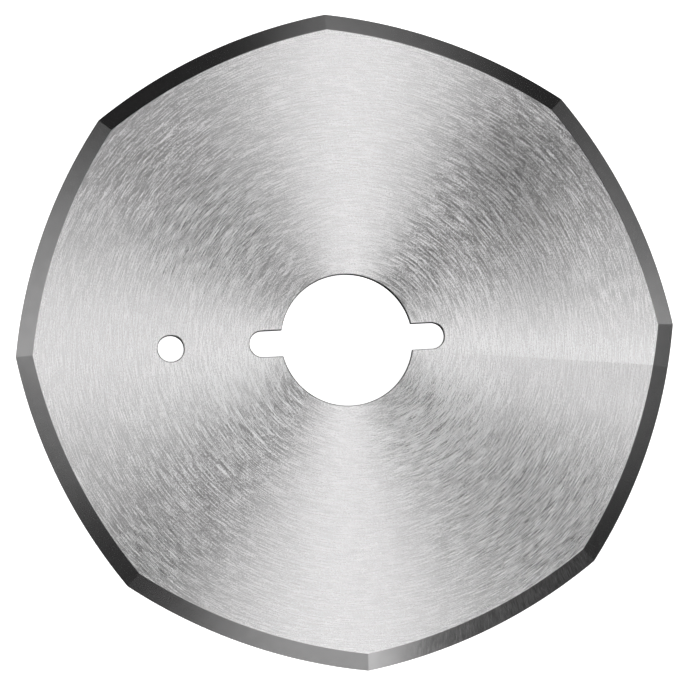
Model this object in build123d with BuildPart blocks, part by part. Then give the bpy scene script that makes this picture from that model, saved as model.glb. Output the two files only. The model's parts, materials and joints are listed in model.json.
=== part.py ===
from build123d import *
import os
from math import radians, tan

# Eight-sided circular knife for a rotary cloth cutter.
# It is one flat disc of tool steel. Its rim is eight shallow curved cutting
# edges that meet at eight tips, and each edge is ground to a bevel on the upper
# side only. The underside is flat from edge to edge, as it runs against a
# counter-blade. The knife sits on a hub through the central bore, two opposed
# keyways with round ends turn it, and a pin through the small hole holds it
# still while the hub nut is loosened.
#
# Frame: the origin is the bore's centre on the underside, +Z points out of the
# bevelled side, and the keyways, the pin hole and two tips lie along X, with
# the pin hole on the -X side.

# Sizes in millimetres, angles in degrees
tip_circle_diameter = 100.0
side_count = 8
side_radius = 80.0  # of each cutting edge, from tip to tip
thickness = 1.2
bevel_angle = 24.0  # between the ground bevel and the underside
edge_land = 0.1  # height of the blunt strip along the cutting edge
bore_diameter = 20.0
keyway_width = 4.0
keyway_span = 29.6  # from the end of one keyway to the end of the other
pin_hole_diameter = 4.0
pin_hole_offset = 26.7  # from the knife's centre to the pin hole's
edge_break = 0.15  # chamfer on both rims of the bore, keyways and pin hole

bevel_height = thickness - edge_land
bevel_width = bevel_height / tan(radians(bevel_angle))

with BuildPart() as knife:
    # Blank: a disc with eight curved sides
    with BuildSketch():
        with BuildLine():
            tips = PolarLocations(tip_circle_diameter / 2, side_count).locations
            for side in range(side_count):
                start = tips[side].position
                end = tips[(side + 1) % side_count].position
                RadiusArc(start, end, -side_radius)
        make_face()
    extrude(amount=thickness)

    # Bevel: one ground cone to each side, mitred at the tips
    upper_face = knife.faces().sort_by(Axis.Z)[-1]
    chamfer(
        upper_face.edges(),
        length=bevel_width,
        length2=bevel_height,
        reference=upper_face,
    )

    # Bore with its two keyways, and the pin hole
    with BuildSketch():
        Circle(bore_diameter / 2)
        SlotOverall(keyway_span, keyway_width)
        with Locations((-pin_hole_offset, 0)):
            Circle(pin_hole_diameter / 2)
    extrude(amount=thickness, mode=Mode.SUBTRACT)

    # Deburred rims of every opening, on both sides
    flat_faces = knife.faces().filter_by(Axis.Z)
    rims = [
        edge
        for face in flat_faces
        for wire in face.inner_wires()
        for edge in wire.edges()
    ]
    chamfer(rims, length=edge_break)

os.makedirs("parts", exist_ok=True)
knife.part.label = "circular_knife"
export_step(knife.part, "parts/circular_knife.step")
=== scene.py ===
import json
from math import asin, atan2, cos, hypot, pi, radians, sin, sqrt, tan

import bmesh
import bpy
from mathutils import Matrix, Quaternion, Vector
from mathutils.geometry import delaunay_2d_cdt


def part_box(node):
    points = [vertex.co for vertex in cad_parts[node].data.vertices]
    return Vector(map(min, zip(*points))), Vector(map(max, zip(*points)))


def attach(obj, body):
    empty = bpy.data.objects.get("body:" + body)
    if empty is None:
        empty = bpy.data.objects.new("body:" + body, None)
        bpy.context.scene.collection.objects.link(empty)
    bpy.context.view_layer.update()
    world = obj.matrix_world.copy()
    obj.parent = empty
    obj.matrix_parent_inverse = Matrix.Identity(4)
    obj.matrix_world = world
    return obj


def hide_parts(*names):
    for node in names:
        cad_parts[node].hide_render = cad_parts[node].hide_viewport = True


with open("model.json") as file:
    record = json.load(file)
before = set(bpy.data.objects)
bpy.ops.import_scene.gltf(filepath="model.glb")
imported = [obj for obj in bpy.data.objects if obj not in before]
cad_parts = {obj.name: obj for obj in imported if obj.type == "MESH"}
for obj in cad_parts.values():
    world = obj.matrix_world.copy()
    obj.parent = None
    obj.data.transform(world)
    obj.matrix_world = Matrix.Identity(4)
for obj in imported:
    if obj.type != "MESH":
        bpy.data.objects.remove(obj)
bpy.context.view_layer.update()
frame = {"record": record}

# Sizes of the knife in metres. What the frame holds is read from it.
MM = 0.001
mounts = {mount["name"]: mount for mount in frame["record"]["mounts"]}
low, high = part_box("circular_knife")
thickness = high.z - low.z
tip_radius = high.x
bore_radius = mounts["bore"]["dims"]["r_mm"] * MM
pin_radius = mounts["pin_hole"]["dims"]["r_mm"] * MM
pin_place = Vector(mounts["pin_hole"]["pos_m"][:2])
side_count = 8
side_radius = 80 * MM
bevel_angle = radians(24)
edge_land = 0.1 * MM
keyway_width = 4 * MM
keyway_span = 29.6 * MM
edge_break = 0.15 * MM

# Sizes that follow from those
side_turn = 2 * pi / side_count
keyway_end = (keyway_span - keyway_width) / 2
bevel_width = (thickness - edge_land) / tan(bevel_angle)

# Rounds of the finished steel, which are finer than the solid's form
shoulder_round = 0.2 * MM
edge_round = 0.05 * MM

# Fineness of the mesh
mesh_spacing = 1.5 * MM
mesh_clearance = 0.6 * mesh_spacing
side_steps = 40
round_steps = 5
keyway_wall_steps = 6
keyway_end_steps = 24
bore_arc_steps = 72
pin_steps = 72

# Material places on the knife's mesh, and how far from upright an opening's surface is still its wall
FACE, BEVEL, WALL = range(3)
wall_lean = radians(50)

# Where each point of the mesh lies when the walls and bevels are laid flat
flat_places = {}


def turned(x, y, angle):
    """A point in the plane, turned about the knife's centre."""
    return Vector((x * cos(angle) - y * sin(angle), x * sin(angle) + y * cos(angle)))


def knife_outline(grow):
    """The eight curved sides, drawn out by grow. Each side starts at a tip."""
    half = side_turn / 2
    reach = sqrt(side_radius**2 - (tip_radius * sin(half)) ** 2)
    arc_centre = tip_radius * cos(half) - reach
    radius = side_radius + grow
    tip = arc_centre * cos(half) + sqrt(radius**2 - (arc_centre * sin(half)) ** 2)
    sweep = atan2(tip * sin(half), tip * cos(half) - arc_centre)
    points = []
    for side in range(side_count):
        for step in range(side_steps):
            angle = sweep * (2 * step / side_steps - 1)
            x = arc_centre + radius * cos(angle)
            points.append(turned(x, radius * sin(angle), (side + 0.5) * side_turn))
    return points


def bore_outline(grow):
    """The bore and its two keyways, drawn out by grow."""
    radius = bore_radius + grow
    half_width = keyway_width / 2 + grow
    corner = sqrt(radius**2 - half_width**2)
    corner_angle = asin(half_width / radius)
    half = []
    for step in range(keyway_wall_steps):
        along = corner + (keyway_end - corner) * step / keyway_wall_steps
        half.append((along, -half_width))
    for step in range(keyway_end_steps):
        angle = pi * (step / keyway_end_steps - 0.5)
        half.append((keyway_end + half_width * cos(angle), half_width * sin(angle)))
    for step in range(keyway_wall_steps):
        along = keyway_end + (corner - keyway_end) * step / keyway_wall_steps
        half.append((along, half_width))
    for step in range(bore_arc_steps):
        angle = corner_angle + (pi - 2 * corner_angle) * step / bore_arc_steps
        half.append((radius * cos(angle), radius * sin(angle)))
    return [turned(x, y, turn) for turn in (0, pi) for x, y in half]


def bore_corners():
    """Which points of the bore's outline lie where a keyway opens into it."""
    keyway = 2 * keyway_wall_steps + keyway_end_steps
    half = keyway + bore_arc_steps
    return (0, keyway, half, half + keyway)


def pin_outline(grow):
    """The pin hole, drawn out by grow."""
    turns = [2 * pi * step / pin_steps for step in range(pin_steps)]
    return [pin_place + turned(pin_radius + grow, 0, turn) for turn in turns]


def is_open(point, grow):
    """Whether a point in the plane lies in an opening that is drawn out by grow."""
    half_width = keyway_width / 2 + grow
    along = abs(point.x)
    return (
        point.length < bore_radius + grow
        or (along < keyway_end and abs(point.y) < half_width)
        or hypot(along - keyway_end, point.y) < half_width
        or (point - pin_place).length < pin_radius + grow
    )


def rim_rows():
    """Rows from the face over the bevel to the edge: how far each is drawn out, its height and lean."""
    start = -bevel_width - shoulder_round * tan(bevel_angle / 2)
    rows = []
    for step in range(round_steps + 1):
        lean = bevel_angle * step / round_steps
        drop = shoulder_round * (1 - cos(lean))
        rows.append((start + shoulder_round * sin(lean), thickness - drop, lean))
    lip = pi / 2 - bevel_angle
    reach = edge_round * tan(lip / 2)
    for step in range(round_steps + 1):
        lean = bevel_angle + lip * step / round_steps
        height = edge_land - reach + edge_round * sin(pi / 2 - lean)
        rows.append((edge_round * (sin(lean) - 1), height, lean))
    rows.append((0.0, 0.0, pi / 2))
    return rows


def hole_rows():
    """Rows from the face down through an opening: how far each is drawn out, its height and lean."""
    rows = []
    for step in range(round_steps + 1):
        lean = pi / 2 * step / round_steps
        away = edge_break * (1 - sin(lean))
        rows.append((away, thickness - edge_break * (1 - cos(lean)), lean))
    mirrored = [(away, thickness - height, pi - lean) for away, height, lean in reversed(rows)]
    return rows + mirrored


def facings(points, corners):
    """For each point, the outward directions of the line that ends there and the next one."""
    ahead = points[1:] + points[:1]
    squares = [Vector((b.y - a.y, a.x - b.x)).normalized() for a, b in zip(points, ahead)]
    pairs = []
    for i, after in enumerate(squares):
        before = squares[i - 1]
        if i not in corners:
            before = after = (before + after).normalized()
        pairs.append((before, after))
    return pairs


def add_rows(mesh, outline, rows, side):
    """Rows of points in the mesh, each with its lean, and their places when laid flat."""
    path = 0.0
    last = rows[0]
    bands = []
    for grow, height, lean in rows:
        path += hypot(grow - last[0], height - last[1])
        last = (grow, height)
        points = []
        for point, place in zip(outline(grow), outline(rows[0][0] + side * path)):
            vert = mesh.verts.new((point.x, point.y, height))
            flat_places[vert] = place
            points.append(vert)
        bands.append((points, lean))
    return bands


def add_band(mesh, outline, rows, corners=(), inward=False):
    """Rows of points joined by quads, with their normals. Returns the first and last rows."""
    normals = mesh.loops.layers.float_vector["normals"]
    side = -1 if inward else 1
    facing = facings(outline(rows[0][0]), corners)
    bands = add_rows(mesh, outline, rows, side)
    for (upper, upper_lean), (lower, lower_lean) in zip(bands, bands[1:]):
        middle_lean = (upper_lean + lower_lean) / 2
        wall = inward and abs(middle_lean - pi / 2) < wall_lean
        for i in range(len(upper)):
            j = (i + 1) % len(upper)
            after, before = facing[i][1], facing[j][0]
            corner_normals = [
                (upper[i], upper_lean, after),
                (lower[i], lower_lean, after),
                (lower[j], lower_lean, before),
                (upper[j], upper_lean, before),
            ]
            if inward:
                corner_normals.reverse()
            face = mesh.faces.new([vert for vert, _, _ in corner_normals])
            face.material_index = WALL if wall else BEVEL
            for loop, (_, lean, way) in zip(face.loops, corner_normals):
                loop[normals] = (*(side * sin(lean) * way), cos(lean))
    return bands[0][0], bands[-1][0]


def ring_points(grow):
    """Points on rings about the bore that lie clear of every outline."""
    points = []
    ring = bore_radius
    largest = min(point.length for point in knife_outline(grow)) - mesh_spacing / 2
    while ring < largest:
        count = round(2 * pi * ring / mesh_spacing)
        for step in range(count):
            point = turned(ring, 0, 2 * pi * step / count)
            if not is_open(point, edge_break + mesh_clearance):
                points.append(point)
        ring += mesh_spacing
    return points


def fill_face(mesh, outer, holes, height, grow, up):
    """A flat face between an outer row of points and the rows of its openings."""
    normals = mesh.loops.layers.float_vector["normals"]
    verts = []
    edges = []
    for loop in [outer, *holes]:
        first = len(verts)
        verts += loop
        edges += [(first + i, first + (i + 1) % len(loop)) for i in range(len(loop))]
    places = [vert.co.xy for vert in verts]
    for point in ring_points(grow):
        vert = mesh.verts.new((point.x, point.y, height))
        flat_places[vert] = point
        verts.append(vert)
        places.append(point)
    triangles = delaunay_2d_cdt(places, edges, [], 1, 1e-9)[2]
    for triangle in triangles:
        middle = sum((places[i] for i in triangle), Vector((0, 0))) / 3
        if not is_open(middle, edge_break):
            face = mesh.faces.new([verts[i] for i in triangle[::up]])
            face.material_index = FACE
            for loop in face.loops:
                loop[normals] = (0, 0, up)


# The share of the baked map's height that the upper side takes, and the underside as well
map_share = 0.49


def lay_out_map(mesh):
    """A map for baked textures that runs round the bore along U and outwards along V."""
    layer = mesh.loops.layers.uv.new("OFBake")
    inner = bore_radius - thickness - 2 * edge_break
    outer = tip_radius + 3 * edge_land
    for face in mesh.faces:
        below = face.normal.z < -0.9
        places = []
        for loop in face.loops:
            place = loop.vert.co.xy if below else flat_places[loop.vert]
            places.append((atan2(place.y, place.x) / (2 * pi) + 0.5, place.length))
        wraps = max(u for u, _ in places) - min(u for u, _ in places) > 0.5
        for loop, (u, reach) in zip(face.loops, places):
            inside = map_share * (outer - reach) / (outer - inner)
            v = inside if below else 1 - inside
            loop[layer].uv = (u + 1 if wraps and u < 0.5 else u, v)


def make_knife():
    """The blade's mesh with its normals, map and materials."""
    mesh = bmesh.new()
    mesh.loops.layers.float_vector.new("normals")
    tips = range(0, side_count * side_steps, side_steps)
    rim_top, rim_bottom = add_band(mesh, knife_outline, rim_rows(), tips)
    bore_top, bore_bottom = add_band(mesh, bore_outline, hole_rows(), bore_corners(), inward=True)
    pin_top, pin_bottom = add_band(mesh, pin_outline, hole_rows(), inward=True)
    fill_face(mesh, rim_top, [bore_top, pin_top], thickness, rim_rows()[0][0], 1)
    fill_face(mesh, rim_bottom, [bore_bottom, pin_bottom], 0.0, 0.0, -1)
    lay_out_map(mesh)
    for face in mesh.faces:
        face.smooth = True
    data = bpy.data.meshes.new("knife_blade")
    mesh.to_mesh(data)
    mesh.free()
    normals = [corner.vector.copy() for corner in data.attributes["normals"].data]
    data.attributes.remove(data.attributes["normals"])
    data.normals_split_custom_set(normals)
    knife = bpy.data.objects.new("knife_blade", data)
    bpy.context.scene.collection.objects.link(knife)
    for material in (face_steel(), bevel_steel(), wall_steel()):
        data.materials.append(material)
    return knife


def add_node(tree, kind, values=None, **settings):
    """A node with its settings, and its inputs set or linked."""
    node = tree.nodes.new(kind)
    for name, value in settings.items():
        setattr(node, name, value)
    for name, value in (values or {}).items():
        if isinstance(value, bpy.types.NodeSocket):
            tree.links.new(value, node.inputs[name])
        else:
            node.inputs[name].default_value = value
    return node


def maths(tree, operation, *values):
    """The result of a sum on numbers and sockets."""
    numbered = dict(enumerate(values))
    return add_node(tree, "ShaderNodeMath", numbered, operation=operation).outputs[0]


def vectors(tree, operation, *values):
    """The result of a sum on vectors: a number for a length, otherwise a vector."""
    numbered = dict(enumerate(values))
    node = add_node(tree, "ShaderNodeVectorMath", numbered, operation=operation)
    return node.outputs["Value" if operation == "LENGTH" else "Vector"]


def ramp(tree, value, span, result, **settings):
    """A value taken from its span to the result's, and held within it."""
    ends = {"From Min": span[0], "From Max": span[1], "To Min": result[0], "To Max": result[1]}
    node = add_node(tree, "ShaderNodeMapRange", {"Value": value, **ends}, **settings)
    return node.outputs["Result"]


def from_centre(tree, place, centre=(0.0, 0.0)):
    """How far a place lies from an upright line through a centre: along x, along y and in all."""
    away = vectors(tree, "SUBTRACT", place, (*centre, 0.0))
    split = add_node(tree, "ShaderNodeSeparateXYZ", {0: away})
    x, y = split.outputs["X"], split.outputs["Y"]
    flat = add_node(tree, "ShaderNodeCombineXYZ", {"X": x, "Y": y})
    return x, y, vectors(tree, "LENGTH", flat.outputs[0])


# Materials from here on count lengths in millimetres
to_millimetres = (1 / MM, 1 / MM, 1 / MM)

# The range that noise mostly keeps to
noise_span = (0.3, 0.7)


def noise_at(tree, x, y, z, detail):
    """Noise at a place that is given by its three coordinates."""
    where = add_node(tree, "ShaderNodeCombineXYZ", {"X": x, "Y": y, "Z": z})
    values = {"Vector": where.outputs[0], "Scale": 1.0, "Detail": detail, "Roughness": 0.6}
    return add_node(tree, "ShaderNodeTexNoise", values).outputs["Fac"]


def streaks(tree, place, centre, length, width, detail=2.0):
    """Noise drawn out along circles about a centre."""
    x, y, reach = from_centre(tree, place, centre)
    sizes = ((x, length), (y, length), (reach, width))
    x, y, z = (maths(tree, "DIVIDE", value, size) for value, size in sizes)
    return noise_at(tree, x, y, z, detail)


def cross_marks(tree, place, centre, width, length, detail=2.0):
    """Noise drawn out straight away from a centre, with its sizes as they are at the edge."""
    x, y, reach = from_centre(tree, place, centre)
    onto_edge = maths(tree, "DIVIDE", tip_radius / MM / width, reach)
    x, y = (maths(tree, "MULTIPLY", value, onto_edge) for value in (x, y))
    return noise_at(tree, x, y, maths(tree, "DIVIDE", reach, length), detail)


# How much of its red the steel has in green and in blue: a faint warmth
steel_warmth = (0.992, 0.995)


def steel(name):
    """A new metal material. Returns it, its tree, its shader and the place in millimetres."""
    material = bpy.data.materials.new(name)
    material.use_nodes = True
    tree = material.node_tree
    shader = tree.nodes["Principled BSDF"]
    shader.inputs["Metallic"].default_value = 1.0
    coordinates = add_node(tree, "ShaderNodeTexCoord")
    place = vectors(tree, "MULTIPLY", coordinates.outputs["Object"], to_millimetres)
    return material, tree, shader, place


def set_colour(tree, shader, grey):
    """Give the steel its colour in a given lightness."""
    tones = [grey] + [maths(tree, "MULTIPLY", grey, share) for share in steel_warmth]
    colour = add_node(tree, "ShaderNodeCombineColor", dict(enumerate(tones))).outputs[0]
    tree.links.new(colour, shader.inputs["Base Color"])


# Layers of brushed hairs: the centre of their circles, length, width, the noise's detail, and share
hair_layers = (
    ((2.5, 1.0), 3.0, 0.1, 1.0, 1.0),
    ((-1.5, -3.5), 2.4, 0.08, 1.0, 1.0),
    ((0.0, 0.0), 0.2, 0.11, 0.0, 0.75),
)

# From dark smooth hairs to pale rough ones: the hairs' value, and their lightness or roughness
hair_lightness = ((0.445, 0.595), (0.59, 0.97))
hair_roughness = ((0.467, 0.613), (0.3, 1.0))

# The hairs grow darker and smoother outwards: distance from the centre, and what it adds
hair_drift = ((15.0, 46.0), (0.02, -0.015))

# How far single hairs stray from their circles, and the size of the places where they do
stray_angle = radians(4)
stray_size = (1.5, 0.14)


def layered_hairs(tree, place):
    """Crossing layers of hairs added up, with the spread of a single layer."""
    spread = sqrt(sum(share**2 for *_, share in hair_layers))
    total = 0.5
    for centre, length, width, detail, share in hair_layers:
        layer = streaks(tree, place, centre, length, width, detail)
        weighed = maths(tree, "MULTIPLY", maths(tree, "SUBTRACT", layer, 0.5), share / spread)
        total = maths(tree, "ADD", total, weighed)
    return total


# A painted reflection: a straight line from the bore to the edge, with the brushing's colour paler
# above it and darker below
reflection_line_angle = radians(-6.42)
reflection_line_offset = -1.0
reflection_line_fade = 6.0
reflection_line_pale = 0.09
reflection_line_dark = -0.05

# The painted reflection line stands out more towards the edge: distance from the bore's middle, and its
# strength
reflection_line_growth = ((2.0, 44.0), (0.0, 1.6))


def painted_reflection_tone(tree, place):
    """Painted reflection: the brushing's colour made paler above a straight line and darker below it.
    """
    x, y, _ = from_centre(tree, place)
    drop = maths(tree, "MULTIPLY", x, -sin(reflection_line_angle))
    rise = maths(tree, "MULTIPLY_ADD", y, cos(reflection_line_angle), drop)
    above = maths(tree, "SUBTRACT", rise, reflection_line_offset)
    pale = ramp(tree, above, (0.0, reflection_line_fade), (reflection_line_pale, 0.0))
    dark = ramp(tree, above, (-reflection_line_fade, 0.0), (0.0, reflection_line_dark))
    over = maths(tree, "GREATER_THAN", above, 0.0)
    step = add_node(tree, "ShaderNodeMix", {0: over, 2: dark, 3: pale}).outputs[0]
    return maths(tree, "MULTIPLY_ADD", step, ramp(tree, x, *reflection_line_growth), 1.0)


# Where the brushing is paler or darker, partly the finish's own uneven tone and partly painted light
# and shade: centre, radius of the soft patch and its share
tone_and_painted_light_patches = (
    ((26.5, 24.5), 14.0, -0.22),
    ((-14.5, -7.5), 10.0, 0.2),
    ((14.5, -12.0), 12.0, 0.26),
    ((-23.5, -13.0), 17.0, 0.13),
    ((29.0, 10.5), 13.0, -0.13),
)

# Where fine scratches gather: centre, radius of the soft patch and its share
scratched_places = (
    ((27.0, -29.0), 24.0, 1.0),
    ((-32.0, -32.0), 14.0, 0.5),
    ((12.0, -15.0), 14.0, 1.0),
    ((-20.0, 17.0), 18.0, 0.6),
)

# The scratches: their circles' centre, length and width, and their share in lightness and roughness
scratch_centre = (4.0, -2.0)
scratch_size = (2.2, 0.065)
scratch_span = (0.38, 0.62)
scratch_lightness = 0.38
scratch_roughness = 0.3


def soft_patch(tree, place, centre, radius):
    """1 at a centre, falling smoothly to 0 at a radius."""
    reach = from_centre(tree, place, centre)[2]
    return ramp(tree, reach, (0.0, radius), (1.0, 0.0), interpolation_type="SMOOTHSTEP")


def tone_and_painted_light(tree, place):
    """Tone of the brushing in its soft patches: partly the finish's own, partly painted light and
    shade.
    """
    tone = 1.0
    for centre, radius, share in tone_and_painted_light_patches:
        tone = maths(tree, "MULTIPLY_ADD", soft_patch(tree, place, centre, radius), share, tone)
    return tone


def upper_side(tree, place, tone):
    """A tone on the knife's upper side, and 1 on its underside."""
    height = add_node(tree, "ShaderNodeSeparateXYZ", {0: place}).outputs["Z"]
    above = maths(tree, "GREATER_THAN", height, thickness / MM / 2)
    return maths(tree, "MULTIPLY_ADD", maths(tree, "SUBTRACT", tone, 1.0), above, 1.0)


def fine_scratches(tree, place):
    """Fine scratches in a few places, from -1 for dark to 1 for bright."""
    noise = streaks(tree, place, scratch_centre, *scratch_size, 1.0)
    lines = ramp(tree, noise, scratch_span, (-1.0, 1.0))
    depth = 0.0
    for centre, radius, share in scratched_places:
        patch = maths(tree, "MULTIPLY", soft_patch(tree, place, centre, radius), share)
        depth = maths(tree, "MAXIMUM", patch, depth)
    return maths(tree, "MULTIPLY", lines, depth)


def brushing_direction(tree, place):
    """Round the bore, with single hairs a little astray."""
    round_bore = add_node(tree, "ShaderNodeTangent", direction_type="RADIAL", axis="Z")
    noise = streaks(tree, place, (-1.2, 1.6), *stray_size, 1.0)
    stray = ramp(tree, noise, noise_span, (-stray_angle, stray_angle))
    values = {"Vector": round_bore.outputs[0], "Angle": stray}
    return add_node(tree, "ShaderNodeVectorRotate", values, rotation_type="Z_AXIS").outputs[0]


def face_steel():
    """Steel brushed in circles about the bore: pale rough hairs between dark smooth ones."""
    material, tree, shader, place = steel("brushed_face")
    reach = from_centre(tree, place)[2]
    hairs = maths(tree, "ADD", layered_hairs(tree, place), ramp(tree, reach, *hair_drift))
    scratches = fine_scratches(tree, place)
    scratch_tone = maths(tree, "MULTIPLY_ADD", scratches, scratch_lightness, 1.0)
    grey = ramp(tree, hairs, *hair_lightness)
    # The colour is also made paler and darker beside a straight line: a painted reflection.
    # The patch tone is partly the finish's own uneven tone and partly painted light and shade.
    for tone in (scratch_tone, painted_reflection_tone(tree, place), tone_and_painted_light(tree, place)):
        grey = maths(tree, "MULTIPLY", grey, upper_side(tree, place, tone))
    set_colour(tree, shader, grey)
    roughness = ramp(tree, hairs, *hair_roughness)
    scratch_share = maths(tree, "MULTIPLY_ADD", scratches, scratch_roughness, 1.0)
    tree.links.new(maths(tree, "MULTIPLY", roughness, scratch_share), shader.inputs["Roughness"])
    shader.inputs["Anisotropic"].default_value = 1.0
    shader.inputs["Anisotropic Rotation"].default_value = 0.25
    tree.links.new(brushing_direction(tree, place), shader.inputs["Tangent"])
    return material


# The ground bevel's lightness, and its roughness with what the grinding marks add
bevel_lightness = (0.375, 0.395)
bevel_roughness = 0.18
mark_roughness = 0.005

# The side whose grinding marks stand out: where it faces, and how far round they fade in
coarse_side = radians(298)
coarse_fade = (cos(radians(22)), cos(radians(12)))
coarse_contrast = 0.3


def bevel_steel():
    """Steel ground across the edge, satin, with coarser marks along one side."""
    material, tree, shader, place = steel("ground_bevel")
    x, y, reach = from_centre(tree, place)
    across = maths(tree, "MULTIPLY", y, sin(coarse_side))
    facing = maths(tree, "MULTIPLY_ADD", x, cos(coarse_side), across)
    coarse = ramp(tree, maths(tree, "DIVIDE", facing, reach), coarse_fade, (0.0, 1.0))
    marks = ramp(tree, cross_marks(tree, place, (15.0, 0.0), 0.3, 1.2), noise_span, (-1.0, 1.0))
    marks_here = maths(tree, "MULTIPLY", marks, coarse)
    uneven = maths(tree, "MULTIPLY_ADD", marks_here, coarse_contrast, 1.0)
    grey = ramp(tree, streaks(tree, place, (0.0, 0.0), 1.5, 3.0, 0.0), noise_span, bevel_lightness)
    # The bevel's colour also carries the painted reflection line that crosses the face.
    for tone in (uneven, painted_reflection_tone(tree, place)):
        grey = maths(tree, "MULTIPLY", grey, tone)
    set_colour(tree, shader, grey)
    roughness = maths(tree, "MULTIPLY_ADD", marks, mark_roughness, bevel_roughness)
    tree.links.new(roughness, shader.inputs["Roughness"])
    return material


# The cut walls' lightness and roughness
wall_lightness = (0.04, 0.08)
wall_roughness = (0.3, 0.4)


def wall_steel():
    """Steel that is dark on the walls of the openings."""
    material, tree, shader, place = steel("cut_wall")
    cuts = streaks(tree, place, (0.0, 0.0), 0.3, 2.0)
    set_colour(tree, shader, ramp(tree, cuts, noise_span, wall_lightness))
    tree.links.new(ramp(tree, cuts, noise_span, wall_roughness), shader.inputs["Roughness"])
    shader.inputs["Specular Tint"].default_value = (0.0, 0.0, 0.0, 1.0)
    return material


# Camera, placed as the photograph was taken: nearly straight above the knife
view_tilt = radians(10.41)
view_azimuth = radians(-134.32)
view_roll = radians(-3.83)
view_distance = 1030.6 * MM
view_aim = Vector((0.47, -1.44, 0.0)) * MM
view_lens = 351.6
view_sensor = 36


def make_camera():
    """The camera, tilted from straight above and turned about its own line of sight."""
    flat = Vector((cos(view_azimuth), sin(view_azimuth), 0)) * sin(view_tilt)
    back = flat + Vector((0, 0, cos(view_tilt)))
    up = (Vector((0, 1, 0)) - back * back.y).normalized()
    up.rotate(Quaternion(back, view_roll))
    right = up.cross(back)
    data = bpy.data.cameras.new("camera")
    data.lens = view_lens
    data.sensor_width = view_sensor
    camera = bpy.data.objects.new("camera", data)
    bpy.context.scene.collection.objects.link(camera)
    place = Matrix((right, up, back)).transposed().to_4x4()
    place.translation = view_aim + back * view_distance
    camera.matrix_world = place
    bpy.context.scene.camera = camera


# Softboxes: azimuth, angle from straight above, width and height in degrees, radiance, metres away
softboxes = {
    "right_strip": (359, 39, 29, 36, 2.2, 0.55),
    "top_strip": (76, 40, 37, 51, 2.2, 0.35),
    "right_glow": (4, 39, 21, 35, 2.2, 1.0),
    "left_box": (152, 31, 44, 54, 1.3, 0.9),
    "bottom_box": (294, 26, 64, 44, 2.2, 0.7),
    "left_low": (179, 60, 63, 27, 2.2, 0.9),
    "bottom_low": (266, 60, 61, 29, 2.2, 1.0),
    "left_glow": (179, 24, 37, 48, 2.2, 0.35),
    "right_low": (24, 56, 38, 24, 0.45, 0.85),
    "bottom_glow": (273, 24, 37, 38, 2.2, 0.6),
    "bottom_spot": (286, 48, 15, 26, 1.35, 0.6),
    "right_spot": (13, 49, 19, 33, 1.1, 0.8),
}

# The share of each half over which a softbox fades out
softbox_fade = 0.8


def fade_edges(light):
    """Let a softbox grow darker towards its edges."""
    light.use_nodes = True
    tree = light.node_tree
    geometry = add_node(tree, "ShaderNodeNewGeometry")
    split = add_node(tree, "ShaderNodeSeparateXYZ", {0: geometry.outputs["Parametric"]})
    fades = []
    for axis in ("X", "Y"):
        along = maths(tree, "MULTIPLY_ADD", split.outputs[axis], 2.0, -1.0)
        away = maths(tree, "ABSOLUTE", along)
        fades.append(ramp(tree, away, (1 - softbox_fade, 1.0), (1.0, 0.0)))
    tree.links.new(maths(tree, "MULTIPLY", *fades), tree.nodes["Emission"].inputs["Strength"])


def make_softbox(name, azimuth, zenith, width, height, radiance, distance):
    """A softbox that faces the knife and isn't seen by the camera."""
    light = bpy.data.lights.new(name, "AREA")
    light.shape = "RECTANGLE"
    light.size = 2 * distance * tan(radians(width) / 2)
    light.size_y = 2 * distance * tan(radians(height) / 2)
    light.energy = radiance * pi * light.size * light.size_y
    fade_edges(light)
    lamp = bpy.data.objects.new(name, light)
    bpy.context.scene.collection.objects.link(lamp)
    turn = Matrix.Rotation(radians(azimuth), 4, "Z") @ Matrix.Rotation(radians(zenith), 4, "Y")
    side_up = Matrix.Rotation(pi / 2, 4, "Z")
    lamp.matrix_world = turn @ Matrix.Translation((0, 0, distance)) @ side_up
    lamp.visible_camera = False


# The surround's brightness to the steel and to the camera
dark_surround = 0.03
white_surround = 1.0
white = (1, 1, 1, 1)


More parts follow.
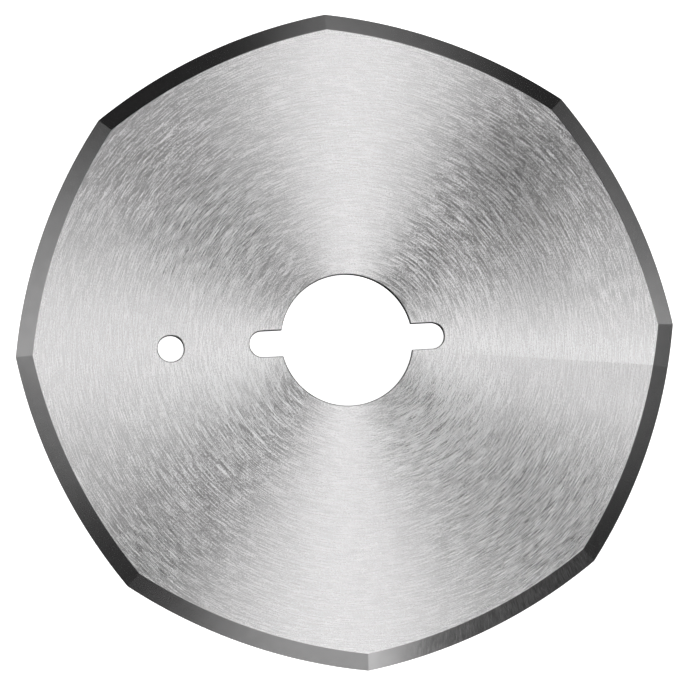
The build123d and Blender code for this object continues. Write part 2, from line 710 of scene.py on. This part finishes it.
def show_camera(tree, others, seen, output):
    """Let the camera see one shader, and everything else another."""
    rays = add_node(tree, "ShaderNodeLightPath")
    values = {0: rays.outputs["Is Camera Ray"], 1: others, 2: seen}
    mix = add_node(tree, "ShaderNodeMixShader", values)
    tree.links.new(mix.outputs[0], output.inputs["Surface"])


def make_world():
    """A surround that is white to the camera and nearly dark to the steel."""
    world = bpy.data.worlds.new("studio")
    bpy.context.scene.world = world
    world.use_nodes = True
    tree = world.node_tree
    tree.nodes.clear()
    output = add_node(tree, "ShaderNodeOutputWorld")
    shades = []
    for strength in (dark_surround, white_surround):
        shade = add_node(tree, "ShaderNodeBackground", {"Color": white, "Strength": strength})
        shades.append(shade.outputs[0])
    show_camera(tree, *shades, output)


# The floor in metres: half its width, and how far it lies below the knife
floor_reach = 4.0
floor_drop = 0.01 * MM
floor_colour = (0.8, 0.8, 0.8, 1)

# The floor's own glow to the camera: metres from the knife, and its strength
floor_glow = ((0.2, 0.8), (0.8, 1.0))


def floor_material():
    """A pale matt floor that shows white but keeps the knife's shadow."""
    material = bpy.data.materials.new("white_floor")
    material.use_nodes = True
    tree = material.node_tree
    tree.nodes.clear()
    output = add_node(tree, "ShaderNodeOutputMaterial")
    coordinates = add_node(tree, "ShaderNodeTexCoord")
    away = from_centre(tree, coordinates.outputs["Object"])[2]
    whiteness = ramp(tree, away, *floor_glow)
    matt = add_node(tree, "ShaderNodeBsdfDiffuse", {"Color": floor_colour}).outputs[0]
    glow = add_node(tree, "ShaderNodeEmission", {"Color": white, "Strength": whiteness}).outputs[0]
    both = add_node(tree, "ShaderNodeAddShader", {0: matt, 1: glow}).outputs[0]
    show_camera(tree, matt, both, output)
    return material


def make_floor():
    """The floor that the knife lies on."""
    mesh = bmesh.new()
    bmesh.ops.create_grid(mesh, x_segments=8, y_segments=8, size=floor_reach)
    data = bpy.data.meshes.new("floor")
    mesh.to_mesh(data)
    mesh.free()
    floor = bpy.data.objects.new("floor", data)
    bpy.context.scene.collection.objects.link(floor)
    floor.location.z = -floor_drop
    data.materials.append(floor_material())


knife = make_knife()
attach(knife, "root")
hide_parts("circular_knife")

make_camera()
make_world()
make_floor()
for name, values in softboxes.items():
    make_softbox(name, *values)
bpy.context.scene.view_settings.view_transform = "Standard"
